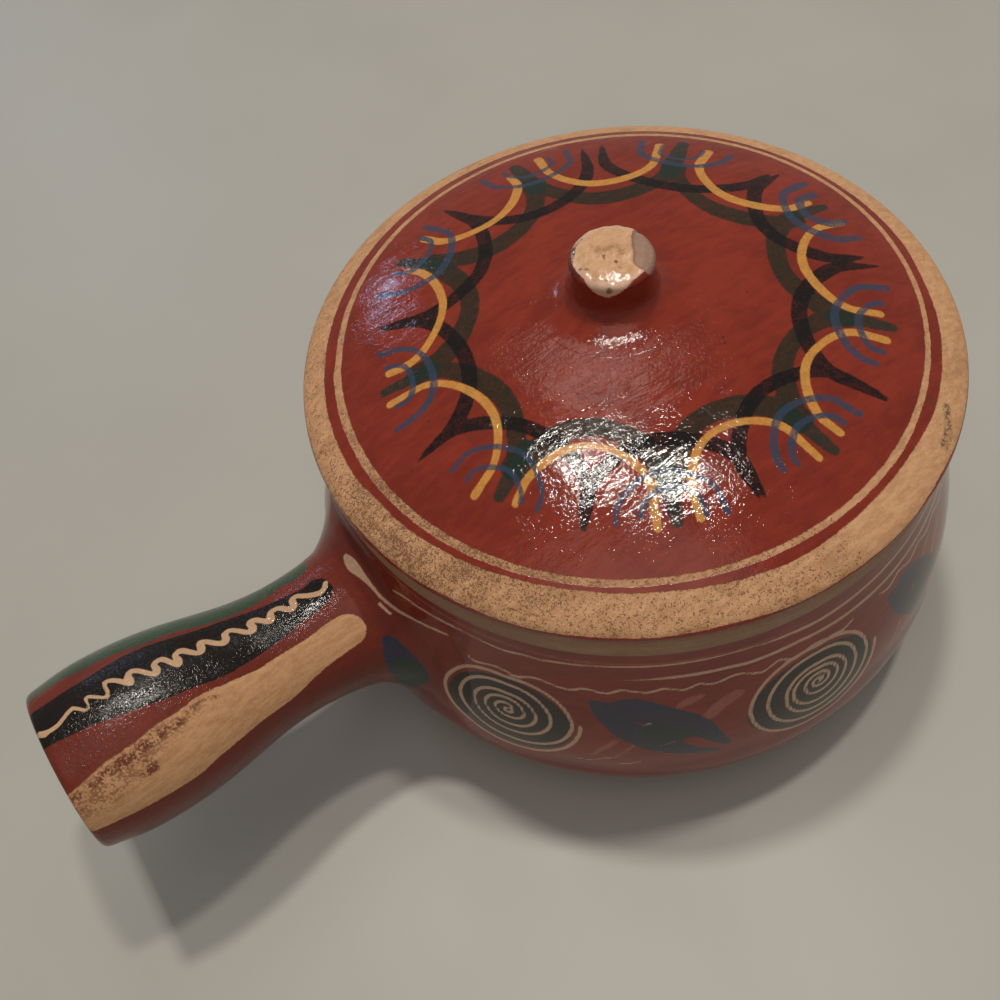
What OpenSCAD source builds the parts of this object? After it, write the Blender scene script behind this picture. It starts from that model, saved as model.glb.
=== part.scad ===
// Covered clay pot: a round-bellied bowl with a straight tubular handle and a loose domed lid.
// Millimetres. Z is up, the origin is the centre of the flat base on the pot's axis,
// and the handle points along -X.

/* [Bowl] */
// height of the mouth, where the lid sits
pot_height = 104; // [101:1:110]
// largest radius of the belly
belly_r = 103.8; // [101:0.2:107]
// height of the belly's widest line
belly_height = 34; // [31:1:38]
// radius of the flat base
foot_r = 74; // [66:1:78]
// outer radius of the neck under the rim
neck_r = 92.5; // [91:0.5:93.5]
// thickness of the wall
wall = 6.5; // [5:0.5:7.5]
// thickness of the floor
floor_t = 8; // [6:0.5:10]

/* [Mouth rim] */
// outer radius of the cream rim
rim_r = 94; // [93.5:0.5:95.5]
// height of the cream rim
rim_h = 9.5; // [7:0.5:11]
// inner radius of the mouth
mouth_r = 85.5; // [84.5:0.5:86.5]

/* [Handle] */
// distance from the pot's axis to the handle's end
handle_reach = 199; // [192:0.5:206]
// rise of the handle's axis towards its end, in degrees
handle_rise = 8; // [5:1:10]
// height at which the handle's axis would cross the pot's axis
handle_root_z = 44.7; // [42:0.1:47]
// radius of the handle's open end
end_r = 24.2; // [22.5:0.1:25]
// largest radius of the handle, a little way in from its end
grip_r = 26.2; // [25:0.1:28]
// smallest radius of the handle, near the belly
waist_r = 20.1; // [19:0.1:21.5]
// thickness of the handle's wall
handle_wall = 6.5; // [5:0.5:8]
// radius of the worked-on clay where it meets the belly
collar_r = 34; // [31:1:37]

/* [Lid] */
// outer radius of the lid
lid_r = 95; // [94:0.5:97]
// height of the lid's widest line above the mouth
lid_edge = 3.5; // [3:0.5:5]
// height of the dome's top above the lid's widest line
dome_h = 20; // [17:0.5:22]
// thickness of the lid in the middle
lid_t = 7; // [5.5:0.5:8]
// outer radius of the ring under the lid
ring_r = 82; // [80:0.5:83]
// thickness of the ring under the lid
ring_t = 5.5; // [4.5:0.5:6.5]
// depth of the ring under the lid
ring_h = 9; // [7:0.5:11]

/* [Knob] */
// radius of the knob's top
knob_r = 11.7; // [11:0.1:13]
// height of the knob above the dome
knob_h = 16; // [14:0.5:18]
// radius of the worked-on clay at the knob's foot
knob_foot_r = 16.5; // [15.5:0.5:18.5]

/* [Hidden] */
$fn = 96;
red_clay = [0.50, 0.18, 0.12];
cream_slip = [0.78, 0.63, 0.47];
raw_clay = [0.66, 0.40, 0.28];
neck_z = pot_height - rim_h;
edge_z = pot_height + lid_edge;
dome_z = edge_z + dome_h;
knob_z = dome_z + knob_h;
// the knob was set on a little off the middle
knob_offset = [-1.2, 2.1, 0];
// the handle's axis from the pot's axis to its end
handle_len = (handle_reach - end_r * sin(handle_rise)) / cos(handle_rise);
// distances along the handle's axis: start inside the belly, blind end of its hollow, waist, grip
root_at = 80;
hollow_at = 114;
waist_at = 127;
grip_at = 178;
// where the worked-on clay has thinned out along the handle
collar_at = 122;
// line on the lid where its dome turns into the sloping edge: inwards and up from the edge
shoulder_in = 12;
shoulder_up = 7.2;
// how far the lid's underside is drawn in from its edge
under_in = 3.4;
// rounding of thrown edges
soft = 1;

// points along a smooth curve with two end points and two pulls
function curve(a, b, c, d, n) =
    [for (i = [0:n]) let (t = i / n)
        pow(1 - t, 3) * a + 3 * pow(1 - t, 2) * t * b + 3 * (1 - t) * t * t * c + pow(t, 3) * d];

// the same points without the first one, for carrying on from another curve
function tail(points) = [for (i = [1:len(points) - 1]) points[i]];

function reversed(points) = [for (i = [len(points) - 1:-1:0]) points[i]];

// outside of the bowl from the base up to the neck
function bowl_side() = concat(
    curve([foot_r, 0], [foot_r + 20, 2], [belly_r, belly_height - 13], [belly_r, belly_height], 14),
    tail(curve([belly_r, belly_height], [belly_r, belly_height + 26],
        [neck_r + 4, neck_z - 24], [neck_r, neck_z], 10)));

// inside of the bowl from the neck down to the middle of the floor
function bowl_inside() = let (belly_in = belly_r - wall, neck_in = neck_r - wall) concat(
    curve([neck_in, neck_z], [neck_in + 4, neck_z - 24],
        [belly_in, belly_height + 28], [belly_in, belly_height + 2], 10),
    tail(curve([belly_in, belly_height + 2], [belly_in, belly_height - 12],
        [foot_r + 14, floor_t], [foot_r - 10, floor_t], 12)),
    [[0, floor_t]]);

// the handle's outline as radius and distance along its axis, drawn in for its hollow
function handle_side(drawn_in) = let (
        waist = waist_r - drawn_in,
        grip = grip_r - drawn_in,
        mouth = end_r - drawn_in) concat(
    curve([waist + 0.4, root_at], [waist + 0.4, root_at + 20], [waist, waist_at - 13], [waist, waist_at], 5),
    tail(curve([waist, waist_at], [waist, waist_at + 19], [grip, grip_at - 23], [grip, grip_at], 9)),
    tail(curve([grip, grip_at], [grip, grip_at + 9],
        [mouth + 1, handle_len - 8], [mouth, handle_len - 2 * soft], 6)));

// top of the lid from its middle out to the shoulder line
function dome_side() =
    tail(curve([0, dome_z], [40, dome_z],
        [lid_r - 25, edge_z + 13], [lid_r - shoulder_in, edge_z + shoulder_up], 12));

// side of the knob from inside the dome up to its top edge
function knob_side() = concat(
    [[knob_r, dome_z - soft], [knob_r - 0.4, dome_z + 3]],
    tail(curve([knob_r - 0.4, dome_z + 3], [knob_r - 0.8, knob_z - 8],
        [knob_r + 0.6, knob_z - 5], [knob_r, knob_z - 2], 6)));

// the bowl's outside as a solid body up to the mouth, for cutting the handle's root to the belly
module bowl_body() {
    rotate_extrude()
        polygon(concat([[0, 0]], bowl_side(), [[neck_r, pot_height], [0, pot_height]]));
}

// the dome as a solid body, for cutting the knob's foot to the lid
module dome_body() {
    rotate_extrude()
        polygon(concat([[0, pot_height], [0, dome_z]], dome_side(), [[lid_r - shoulder_in, pot_height]]));
}

module along_handle() {
    translate([0, 0, handle_root_z])
        rotate([0, -90 + handle_rise, 0])
            children();
}

module bowl() {
    color(red_clay)
        rotate_extrude()
            polygon(concat([[0, 0]], bowl_side(), bowl_inside()));
}

module mouth_rim() {
    color(cream_slip)
        rotate_extrude()
            polygon(concat(
                [[mouth_r, neck_z], [neck_r, neck_z]],
                curve([rim_r - 0.8, neck_z + 0.3], [rim_r + 0.4, neck_z + 1.5],
                    [rim_r + 0.4, pot_height - 2 * soft], [rim_r - soft, pot_height], 8),
                curve([mouth_r + soft, pot_height], [mouth_r + 0.4, pot_height],
                    [mouth_r, pot_height - 0.4], [mouth_r, pot_height - soft], 4)));
}

module handle() {
    color(red_clay)
        difference() {
            along_handle()
                rotate_extrude()
                    polygon(concat(
                        [[0, root_at]], handle_side(0),
                        curve([end_r - 0.1, handle_len - 1.6], [end_r - 0.6, handle_len],
                            [end_r - 1.2, handle_len], [end_r - 2.4, handle_len], 4),
                        [[end_r - handle_wall + 1.6, handle_len]],
                        reversed([for (p = handle_side(handle_wall)) if (p[1] > hollow_at + 4) p]),
                        [[(waist_r - handle_wall) * 0.7, hollow_at], [0, hollow_at - 2]]));
            bowl_body();
        }
}

module handle_collar() {
    color(red_clay)
        difference() {
            along_handle()
                rotate_extrude()
                    polygon(concat(
                        [[0, root_at - 2]],
                        curve([collar_r + 6, root_at + 8], [collar_r - 6, root_at + 18],
                            [waist_r + 2, root_at + 22], [waist_r + 0.8, collar_at], 10),
                        [[0, collar_at]]));
            along_handle()
                rotate_extrude()
                    polygon(concat([[0, root_at - 3]],
                        [[waist_r + 0.4, root_at - 3]], handle_side(0), [[0, handle_len - 2 * soft]]));
            bowl_body();
        }
}

module lid() {
    color(red_clay)
        rotate_extrude()
            polygon(concat(
                [[0, dome_z]], dome_side(),
                tail(curve([lid_r - shoulder_in, edge_z + shoulder_up], [lid_r - 6, edge_z + 4.6],
                    [lid_r - 0.2, edge_z + 2.6], [lid_r, edge_z], 8)),
                tail(curve([lid_r, edge_z], [lid_r - 0.2, edge_z - 1.6],
                    [lid_r - under_in / 2, pot_height], [lid_r - under_in, pot_height], 5)),
                curve([ring_r - ring_t, pot_height], [ring_r - ring_t - 14, pot_height + 8],
                    [40, dome_z - lid_t], [0, dome_z - lid_t], 10)));
}

module lid_ring() {
    ring_in = ring_r - ring_t;
    ring_mid = ring_r - ring_t / 2;
    ring_z = pot_height - ring_h;
    color(raw_clay)
        rotate_extrude()
            polygon(concat(
                [[ring_in, pot_height], [ring_r, pot_height]],
                curve([ring_r, pot_height - soft], [ring_r - 0.2, ring_z + 2 * soft],
                    [ring_r - soft, ring_z], [ring_mid, ring_z], 6),
                tail(curve([ring_mid, ring_z], [ring_in + 0.6, ring_z],
                    [ring_in + 0.2, ring_z + 3 * soft], [ring_in, pot_height - soft], 6))));
}

module knob() {
    color(cream_slip)
        difference() {
            translate(knob_offset)
                rotate_extrude()
                    polygon(concat(
                        [[0, dome_z - soft]], knob_side(),
                        tail(curve([knob_r, knob_z - 2], [knob_r - 0.6, knob_z],
                            [knob_r - 4, knob_z], [0, knob_z + 0.3], 8))));
            dome_body();
        }
}

module knob_collar() {
    color(red_clay)
        difference() {
            translate(knob_offset)
                rotate_extrude()
                    polygon(concat(
                        [[0, dome_z - 2], [knob_foot_r + 2, dome_z - 2]],
                        curve([knob_foot_r, dome_z - 0.1], [knob_r + 1.4, dome_z + 0.6],
                            [knob_r + 0.3, dome_z + 3], [knob_r + 0.2, dome_z + 7], 7),
                        [[0, dome_z + 7]]));
            translate(knob_offset)
                rotate_extrude()
                    polygon(concat([[0, dome_z - 3], [knob_r, dome_z - 3]], knob_side(), [[0, knob_z - 2]]));
            dome_body();
        }
}

bowl();
mouth_rim();
handle();
handle_collar();
lid();
lid_ring();
knob();
knob_collar();
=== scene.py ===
# %% [markdown]
# A covered clay pot: a round-bellied bowl with a hollow handle and a loose domed lid, thrown in red
# earthenware, painted with slips and glazed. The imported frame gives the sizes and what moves. Each
# visible piece is turned anew as a fine mesh, because the brushwork is laid on its points.

# %% Load the frame
import math
import bmesh
import bpy
import numpy as np
from mathutils import Matrix, Vector


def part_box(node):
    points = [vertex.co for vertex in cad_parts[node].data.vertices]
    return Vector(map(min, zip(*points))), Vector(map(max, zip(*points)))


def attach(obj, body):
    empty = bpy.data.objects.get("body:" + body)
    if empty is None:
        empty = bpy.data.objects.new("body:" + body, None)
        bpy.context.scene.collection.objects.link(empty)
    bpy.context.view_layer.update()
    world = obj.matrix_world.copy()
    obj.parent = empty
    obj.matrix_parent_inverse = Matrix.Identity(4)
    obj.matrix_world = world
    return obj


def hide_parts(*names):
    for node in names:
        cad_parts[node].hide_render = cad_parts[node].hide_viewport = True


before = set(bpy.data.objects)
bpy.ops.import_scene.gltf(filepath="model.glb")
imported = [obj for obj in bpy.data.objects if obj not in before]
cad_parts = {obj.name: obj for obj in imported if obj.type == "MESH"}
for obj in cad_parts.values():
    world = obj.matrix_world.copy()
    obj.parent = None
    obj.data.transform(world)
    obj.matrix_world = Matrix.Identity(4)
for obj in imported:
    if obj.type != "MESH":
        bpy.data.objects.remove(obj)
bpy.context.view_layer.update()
MM = 0.001

# %% [markdown]
# The camera comes first, so that every later look is through it. Its place was fitted to the lid's
# round edge: it stands close to the pot, above the handle's near side, and leans a little to its right.

# %% Camera
EYE = Vector((-121.2, -163.7, 343.7)) * MM
AIM = Vector((-43.6, 11.8, 50.0)) * MM
LEAN = math.radians(12.25)
LENS = 37.8

forward = (AIM - EYE).normalized()
level = forward.cross(Vector((0, 0, 1))).normalized()
plumb = level.cross(forward)
up = plumb * math.cos(LEAN) + level * math.sin(LEAN)
right = level * math.cos(LEAN) - plumb * math.sin(LEAN)
camera = bpy.data.objects.new("camera", bpy.data.cameras.new("camera"))
bpy.context.scene.collection.objects.link(camera)
camera.matrix_world = Matrix.Translation(EYE) @ Matrix((right, up, -forward)).transposed().to_4x4()
camera.data.sensor_width = 36
camera.data.lens = LENS
camera.data.clip_start = 0.01
bpy.context.scene.camera = camera
print("camera", round((AIM - EYE).length / MM), "mm from what it looks at")

# %% [markdown]
# The glaze is judged by what it mirrors. Two lamps hang nearly overhead, where their mirror images on the
# lid's front ask for them, and a weak one behind them puts the sheen round the knob. A wide one on the
# camera's side, which no glazed part mirrors, softens the shadow. A faint cool one stands low behind, as a
# window, and the world fills the shade a little.

# %% Light
LEFT_SIDE = Vector((0.03, 0.19, 0.98)).normalized()
RIGHT_SIDE = Vector((0.19, 0.02, 0.982)).normalized()
WIDE_SIDE = Vector((-0.2, -0.35, 0.91)).normalized()
SHEEN_SIDE = Vector((0.235, 0.41, 0.88)).normalized()
COOL_SIDE = Vector((-0.02, 0.89, 0.46)).normalized()


def lamp(name, side, distance, size, watts, colour):
    """A round area lamp that shines at the pot from a direction."""
    light = bpy.data.lights.new(name, "AREA")
    light.shape = "DISK"
    light.size = size
    light.energy = watts
    light.color = colour
    made = bpy.data.objects.new(name, light)
    bpy.context.scene.collection.objects.link(made)
    made.location = side * distance
    made.rotation_mode = "QUATERNION"
    made.rotation_quaternion = side.to_track_quat("Z", "Y")
    return made


lamp("left_lamp", LEFT_SIDE, 1.8, 0.13, 9.0, (1.0, 0.95, 0.87))
lamp("right_lamp", RIGHT_SIDE, 1.8, 0.12, 7.0, (1.0, 0.95, 0.87))
lamp("wide_lamp", WIDE_SIDE, 1.8, 1.4, 4.0, (1.0, 0.96, 0.9))
lamp("sheen_lamp", SHEEN_SIDE, 1.8, 0.5, 1.5, (1.0, 0.95, 0.88))
lamp("cool_lamp", COOL_SIDE, 1.8, 0.2, 1.2, (0.50, 0.66, 1.0))
world = bpy.data.worlds.new("room")
world.use_nodes = True
world.node_tree.nodes["Background"].inputs["Color"].default_value = (1.0, 0.98, 0.95, 1)
world.node_tree.nodes["Background"].inputs["Strength"].default_value = 0.21
bpy.context.scene.world = world
bpy.context.scene.view_settings.view_transform = "Standard"


# %% [markdown]
# Colours are written as they look on a screen, from 0 to 255, and turned to the linear values that
# shaders add up. A small helper places a node and joins or sets its inputs by name.

# %% Helpers for materials
def paint(red, green, blue):
    """A screen colour as a linear one with full alpha."""
    parts = [c / 255 for c in (red, green, blue)]
    return tuple(c / 12.92 if c < 0.04045 else ((c + 0.055) / 1.055) ** 2.4 for c in parts) + (1.0,)


def node(tree, kind, inputs=None, **settings):
    """A shader node with its settings, each input either joined to a socket or given a value."""
    made = tree.nodes.new("ShaderNode" + kind)
    for key, value in settings.items():
        setattr(made, key, value)
    for key, value in (inputs or {}).items():
        if isinstance(value, bpy.types.NodeSocket):
            tree.links.new(value, made.inputs[key])
        else:
            made.inputs[key].default_value = value
    return made


def sums(tree, operation, first, second, clamp=False):
    """One step of arithmetic on two values."""
    return node(tree, "Math", {0: first, 1: second}, operation=operation, use_clamp=clamp).outputs[0]


def blend_colour(tree, amount, under, over):
    """One colour laid over another by an amount from 0 to 1."""
    made = node(tree, "Mix", {0: amount, 6: under, 7: over}, data_type="RGBA")
    return made.outputs[2]


def spread(tree, value, low, high, low_to=0.0, high_to=1.0):
    """A value eased from one range to another, without running past either end."""
    made = node(tree, "MapRange", {0: value, 1: low, 2: high, 3: low_to, 4: high_to},
                interpolation_type="SMOOTHSTEP")
    return made.outputs[0]


def noise(tree, place, scale, detail=3.0, rough=0.55, twist=0.0):
    """Soft noise from 0 to 1, with scale as bumps per metre."""
    made = node(tree, "TexNoise", {"Vector": place, "Scale": scale, "Detail": detail,
                                   "Roughness": rough, "Distortion": twist})
    return made.outputs[0]


def new_group(name, inputs, outputs):
    """An empty node group with named inputs and outputs."""
    group = bpy.data.node_groups.new(name, "ShaderNodeTree")
    for label, kind, value in inputs:
        socket = group.interface.new_socket(label, in_out="INPUT", socket_type="NodeSocket" + kind)
        if value is not None:
            socket.default_value = value
    for label, kind in outputs:
        group.interface.new_socket(label, in_out="OUTPUT", socket_type="NodeSocket" + kind)
    return group, group.nodes.new("NodeGroupInput").outputs, \
        group.nodes.new("NodeGroupOutput").inputs


def use(tree, group, inputs):
    """A group placed in a material with its own values."""
    made = tree.nodes.new("ShaderNodeGroup")
    made.node_tree = group
    for key, value in inputs.items():
        if isinstance(value, bpy.types.NodeSocket):
            tree.links.new(value, made.inputs[key])
        else:
            made.inputs[key].default_value = value
    return made.outputs


# %% [markdown]
# Slip laid with a brush has a ragged edge and lets the clay show where it is thin. One group turns the
# distance from a stroke's edge, which each piece carries at its points, into such a mark.

# %% Brush mark group
brush_mark, given, result = new_group(
    "brush mark",
    [("Place", "Vector", None), ("Distance", "Float", 0.0), ("Ragged", "Float", 0.3),
     ("Soft", "Float", 0.25), ("Cover", "Float", 1.0), ("Thin", "Float", 0.2)],
    [("Mask", "Float")])
fine = noise(brush_mark, given["Place"], 1100, 2.0)
coarse = noise(brush_mark, given["Place"], 260, 2.0)
wander = sums(brush_mark, "SUBTRACT", sums(brush_mark, "ADD", fine, coarse), 1.0)
edge = sums(brush_mark, "ADD", given["Distance"], sums(brush_mark, "MULTIPLY", wander, given["Ragged"]))
flat = sums(brush_mark, "DIVIDE", edge, given["Soft"])
solid = spread(brush_mark, flat, 0.5, -0.5)
bare = sums(brush_mark, "ADD", noise(brush_mark, given["Place"], 420, 4.0, 0.65), sums(
    brush_mark, "MULTIPLY", sums(brush_mark, "SUBTRACT", noise(brush_mark, given["Place"], 1500, 2.0), 0.5), 0.9))
bare = spread(brush_mark, bare, 0.42, 0.58)
loss = sums(brush_mark, "SUBTRACT", 1.0, sums(brush_mark, "MULTIPLY", bare, given["Thin"]))
cover = sums(brush_mark, "MULTIPLY", sums(brush_mark, "MULTIPLY", solid, given["Cover"]), loss)
brush_mark.links.new(cover, result["Mask"])

# %% [markdown]
# The ground of the pot is brick-red slip under clear glaze. It is never even: the brush leaves lighter
# and darker streaks round the turning piece, and iron in the clay leaves dark specks.

# %% Red slip group
red_slip, given, result = new_group(
    "red slip", [("Place", "Vector", None), ("Drawn", "Vector", None), ("Dark", "Color", (0, 0, 0, 1)),
                 ("Light", "Color", (1, 1, 1, 1)), ("Specks", "Float", 0.5)],
    [("Color", "Color")])
streaks = noise(red_slip, given["Drawn"], 420, 4.0, 0.6)
clouds = noise(red_slip, given["Place"], 45, 4.0, 0.6, 0.6)
tone = spread(red_slip, sums(red_slip, "ADD", sums(red_slip, "MULTIPLY", streaks, 0.45),
                             sums(red_slip, "MULTIPLY", clouds, 0.55)), 0.36, 0.64)
ground = blend_colour(red_slip, tone, given["Dark"], given["Light"])
dots = node(red_slip, "TexVoronoi", {"Vector": given["Place"], "Scale": 260}).outputs["Distance"]
rare = spread(red_slip, noise(red_slip, given["Place"], 130, 1.0), 0.58, 0.66)
speck = sums(red_slip, "MULTIPLY", spread(red_slip, dots, 0.13, 0.07), sums(
    red_slip, "MULTIPLY", rare, given["Specks"]))
red_slip.links.new(blend_colour(red_slip, speck, ground, paint(52, 22, 18)), result["Color"])

# %% [markdown]
# Clear glaze gathers in soft wrinkles a few millimetres across, which break a lamp's reflection into
# sparks. The group gives a height for a Bump node and a roughness that is never quite the same.

# %% Glaze skin group
glaze_skin, given, result = new_group(
    "glaze skin", [("Place", "Vector", None), ("Drawn", "Vector", None), ("Fineness", "Float", 520.0),
                   ("Wrinkle", "Float", 0.5), ("Ridge", "Float", 0.3), ("Wave", "Float", 0.5),
                   ("Gloss", "Float", 0.15), ("Dull", "Float", 0.1)],
    [("Height", "Float"), ("Roughness", "Float")])
wrinkle = noise(glaze_skin, given["Place"], given["Fineness"], 3.0, 0.55, 0.8)
ridge = noise(glaze_skin, given["Drawn"], 380, 3.0, 0.6, 0.4)
wave = noise(glaze_skin, given["Drawn"], 200, 3.0, 0.6, 0.8)
calm = spread(glaze_skin, noise(glaze_skin, given["Place"], 75, 2.0), 0.40, 0.58, 0.45, 1.0)
fine = sums(glaze_skin, "ADD", sums(glaze_skin, "MULTIPLY", wrinkle, given["Wrinkle"]),
            sums(glaze_skin, "MULTIPLY", ridge, given["Ridge"]))
height = sums(glaze_skin, "ADD", sums(glaze_skin, "MULTIPLY", fine, calm),
              sums(glaze_skin, "MULTIPLY", wave, given["Wave"]))
glaze_skin.links.new(height, result["Height"])
patch = noise(glaze_skin, given["Drawn"], 170, 5.0, 0.7)
dulled = sums(glaze_skin, "MULTIPLY", spread(glaze_skin, patch, 0.49, 0.56), given["Dull"])
glaze_skin.links.new(sums(glaze_skin, "ADD", given["Gloss"], dulled), result["Roughness"])

# %% [markdown]
# Cream slip that stands without glaze is dry. The brush leaves streaks in it, kitchen years leave brown
# stains, and where it is gritty, grains fell out and dirt filled the pits.

# %% Gritty slip group
gritty_slip, given, result = new_group(
    "gritty slip", [("Place", "Vector", None), ("Drawn", "Vector", None), ("Pale", "Color", (1, 1, 1, 1)),
                    ("Warm", "Color", (1, 1, 1, 1)), ("Dirt", "Color", (0, 0, 0, 1)),
                    ("Grit", "Float", 0.5)],
    [("Color", "Color"), ("Height", "Float")])
streaks = noise(gritty_slip, given["Drawn"], 700, 4.0, 0.65)
grain = noise(gritty_slip, given["Place"], 1500, 3.0, 0.6)
both = sums(gritty_slip, "ADD", sums(gritty_slip, "MULTIPLY", streaks, 0.6), sums(gritty_slip, "MULTIPLY", grain, 0.4))
mottle = blend_colour(gritty_slip, spread(gritty_slip, both, 0.38, 0.62), given["Warm"], given["Pale"])
stain = noise(gritty_slip, given["Place"], 75, 6.0, 0.68, 0.6)
reach = sums(gritty_slip, "ADD", stain, sums(gritty_slip, "MULTIPLY", given["Grit"], 0.13))
stained = sums(gritty_slip, "MULTIPLY", spread(gritty_slip, reach, 0.50, 0.78), 0.3)
mottle = blend_colour(gritty_slip, stained, mottle, given["Dirt"])
pits = spread(gritty_slip, noise(gritty_slip, given["Place"], 1300, 3.0, 0.7, 0.3), 0.66, 0.74)
pits = sums(gritty_slip, "MULTIPLY", pits, given["Grit"], True)
flecks = noise(gritty_slip, given["Place"], 1500, 3.0, 0.6, 1.0)
depth = sums(gritty_slip, "MULTIPLY", given["Grit"], spread(gritty_slip, stain, 0.3, 0.7, 0.06, 0.18))
where = spread(gritty_slip, sums(gritty_slip, "ADD", flecks, depth), 0.58, 0.70, 0.0, 0.8)
where = sums(gritty_slip, "MULTIPLY", where, spread(gritty_slip, given["Grit"], 0.0, 0.15))
where = sums(gritty_slip, "MAXIMUM", where, sums(gritty_slip, "MULTIPLY", pits, 0.8))
gritty_slip.links.new(blend_colour(gritty_slip, where, mottle, given["Dirt"]), result["Color"])
gritty_slip.links.new(sums(gritty_slip, "SUBTRACT", both, where), result["Height"])
print("groups:", [g.name for g in bpy.data.node_groups])

# %% [markdown]
# Curves for turning are drawn as the potter's rib would shape them: two end points and two pulls. A
# profile is then walked in even steps, so that the finished mesh has points close enough for brushwork.


# %% Helpers for turning
def curve(a, b, c, d, count=60):
    """Points of a smooth curve from a to d, pulled towards b and c."""
    t = np.linspace(0, 1, count + 1)[:, None]
    a, b, c, d = (np.array(p, float) for p in (a, b, c, d))
    return (1 - t) ** 3 * a + 3 * (1 - t) ** 2 * t * b + 3 * (1 - t) * t * t * c + t ** 3 * d


def walk(points, step):
    """The same line with points about one step apart."""
    points = np.vstack(points)
    along = np.concatenate([[0], np.cumsum(np.linalg.norm(np.diff(points, axis=0), axis=1))])
    stops = np.linspace(0, along[-1], max(2, int(round(along[-1] / step)) + 1))
    return np.stack([np.interp(stops, along, points[:, i]) for i in (0, 1)], 1)


def turn(points, steps):
    """A bmesh of a profile, in mm of radius and height, turned once round the upright axis.

    An eighth is spun and then copied round, because a whole spin of many steps is slow.
    """
    bm = bmesh.new()
    verts = [bm.verts.new((r, 0, z)) for r, z in points]
    edges = [bm.edges.new(pair) for pair in zip(verts, verts[1:])]
    bmesh.ops.spin(bm, geom=verts + edges, cent=(0, 0, 0), axis=(0, 0, 1), angle=math.pi / 4,
                   steps=steps // 8)
    for part in (8, 4, 2):
        copy = bmesh.ops.duplicate(bm, geom=bm.verts[:] + bm.edges[:] + bm.faces[:])
        copied = [v for v in copy["geom"] if isinstance(v, bmesh.types.BMVert)]
        bmesh.ops.rotate(bm, verts=copied, cent=(0, 0, 0), matrix=Matrix.Rotation(2 * math.pi / part, 3, "Z"))
    bmesh.ops.remove_doubles(bm, verts=bm.verts, dist=1e-3)
    bmesh.ops.recalc_face_normals(bm, faces=bm.faces)
    return bm


def places_of(bm):
    """The points of a bmesh as an array."""
    return np.array([v.co[:] for v in bm.verts])


def move_to(bm, places):
    """Sets the points of a bmesh."""
    for v, place in zip(bm.verts, places):
        v.co = place


def finish_piece(name, bm, materials, body, replaced, marks=None, pick=None):
    """Makes the object from a bmesh in mm, with its paint marks and a material for each face."""
    bmesh.ops.scale(bm, vec=(MM, MM, MM), verts=bm.verts)
    mesh = bpy.data.meshes.new(name)
    for face in bm.faces:
        face.smooth = True
        if pick:
            face.material_index = pick(face.calc_center_median() / MM)
    bm.to_mesh(mesh)
    bm.free()
    for material in materials:
        mesh.materials.append(material)
    for label, values in (marks or {}).items():
        layer = mesh.attributes.new(label, "FLOAT", "POINT")
        layer.data.foreach_set("value", np.asarray(values, np.float32))
    piece = bpy.data.objects.new(name, mesh)
    bpy.context.scene.collection.objects.link(piece)
    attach(piece, body)
    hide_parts(*replaced)
    print(name, len(mesh.vertices), "points", len(mesh.polygons), "faces")
    return piece


# %% [markdown]
# Brushwork is kept as a distance in mm from the edge of the nearest stroke, negative under the paint.
# A stroke is a few points with the brush's width at each, drawn out to a smooth line. A patch is a
# closed outline filled in.

# %% Helpers for brushwork
FAR = 30.0


def smooth(points, step=0.45, closed=False):
    """A smooth line through points, which may carry a width as their last number."""
    points = np.array(points, float)
    ends = (points[-1:], points[:2]) if closed else (2 * points[:1] - points[1:2], 2 * points[-1:] - points[-2:-1])
    held = np.vstack([ends[0], points, ends[1]])
    made = []
    for i in range(len(held) - 3):
        p0, p1, p2, p3 = held[i:i + 4]
        count = max(2, int(np.linalg.norm((p2 - p1)[:2]) / step))
        t = np.arange(count)[:, None] / count
        made.append(0.5 * (2 * p1 + (p2 - p0) * t + (2 * p0 - 5 * p1 + 4 * p2 - p3) * t ** 2
                           + (3 * p1 - p0 - 3 * p2 + p3) * t ** 3))
    if not closed:
        made.append(points[-1:])
    return np.vstack(made)


def lay_stroke(field, places, points, sampled=False):
    """Lowers a field to the distance from a stroke's edge. Points are across, up and width."""
    line = np.array(points, float) if sampled else smooth(points)
    reach = line[:, 2].max() / 2 + 3
    inside = ((places > line[:, :2].min(0) - reach) & (places < line[:, :2].max(0) + reach)).all(1)
    for part in np.array_split(np.where(inside)[0], max(1, inside.sum() // 4000)):
        gap = np.linalg.norm(places[part, None] - line[None, :, :2], axis=2) - line[None, :, 2] / 2
        field[part] = np.minimum(field[part], gap.min(1))


def lay_patch(field, places, outline):
    """Lowers a field to the distance from a closed outline, negative inside it."""
    line = smooth(outline, closed=True)
    inside = ((places > line.min(0) - 4) & (places < line.max(0) + 4)).all(1)
    part = np.where(inside)[0]
    if not len(part):
        return
    spots = places[part]
    gap = np.linalg.norm(spots[:, None] - line[None], axis=2).min(1)
    after = np.roll(line, -1, 0)
    rises = (line[None, :, 1] > spots[:, None, 1]) != (after[None, :, 1] > spots[:, None, 1])
    slope = (after[:, 0] - line[:, 0]) / (after[:, 1] - line[:, 1] + 1e-9)
    meets = line[None, :, 0] + (spots[:, None, 1] - line[None, :, 1]) * slope[None]
    within = (rises & (spots[:, None, 0] < meets)).sum(1) % 2 == 1
    field[part] = np.minimum(field[part], np.where(within, -gap, gap))


# %% [markdown]
# Every painted piece has the same build-up: red slip, then each colour laid over it in the order the
# potter used, then glaze over all but the dry cream bands. One function makes such a material from a
# list of its layers. Brush streaks follow the way each piece was painted: round the pot, or along the
# handle. For that the place on the piece is squeezed along the stroke before it meets the noise.


# %% Painted material
REDS = paint(118, 40, 27), paint(138, 50, 33)
CREAMS = paint(214, 166, 122), paint(190, 140, 98)
CREAM_DIRT = paint(102, 62, 34)


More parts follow.
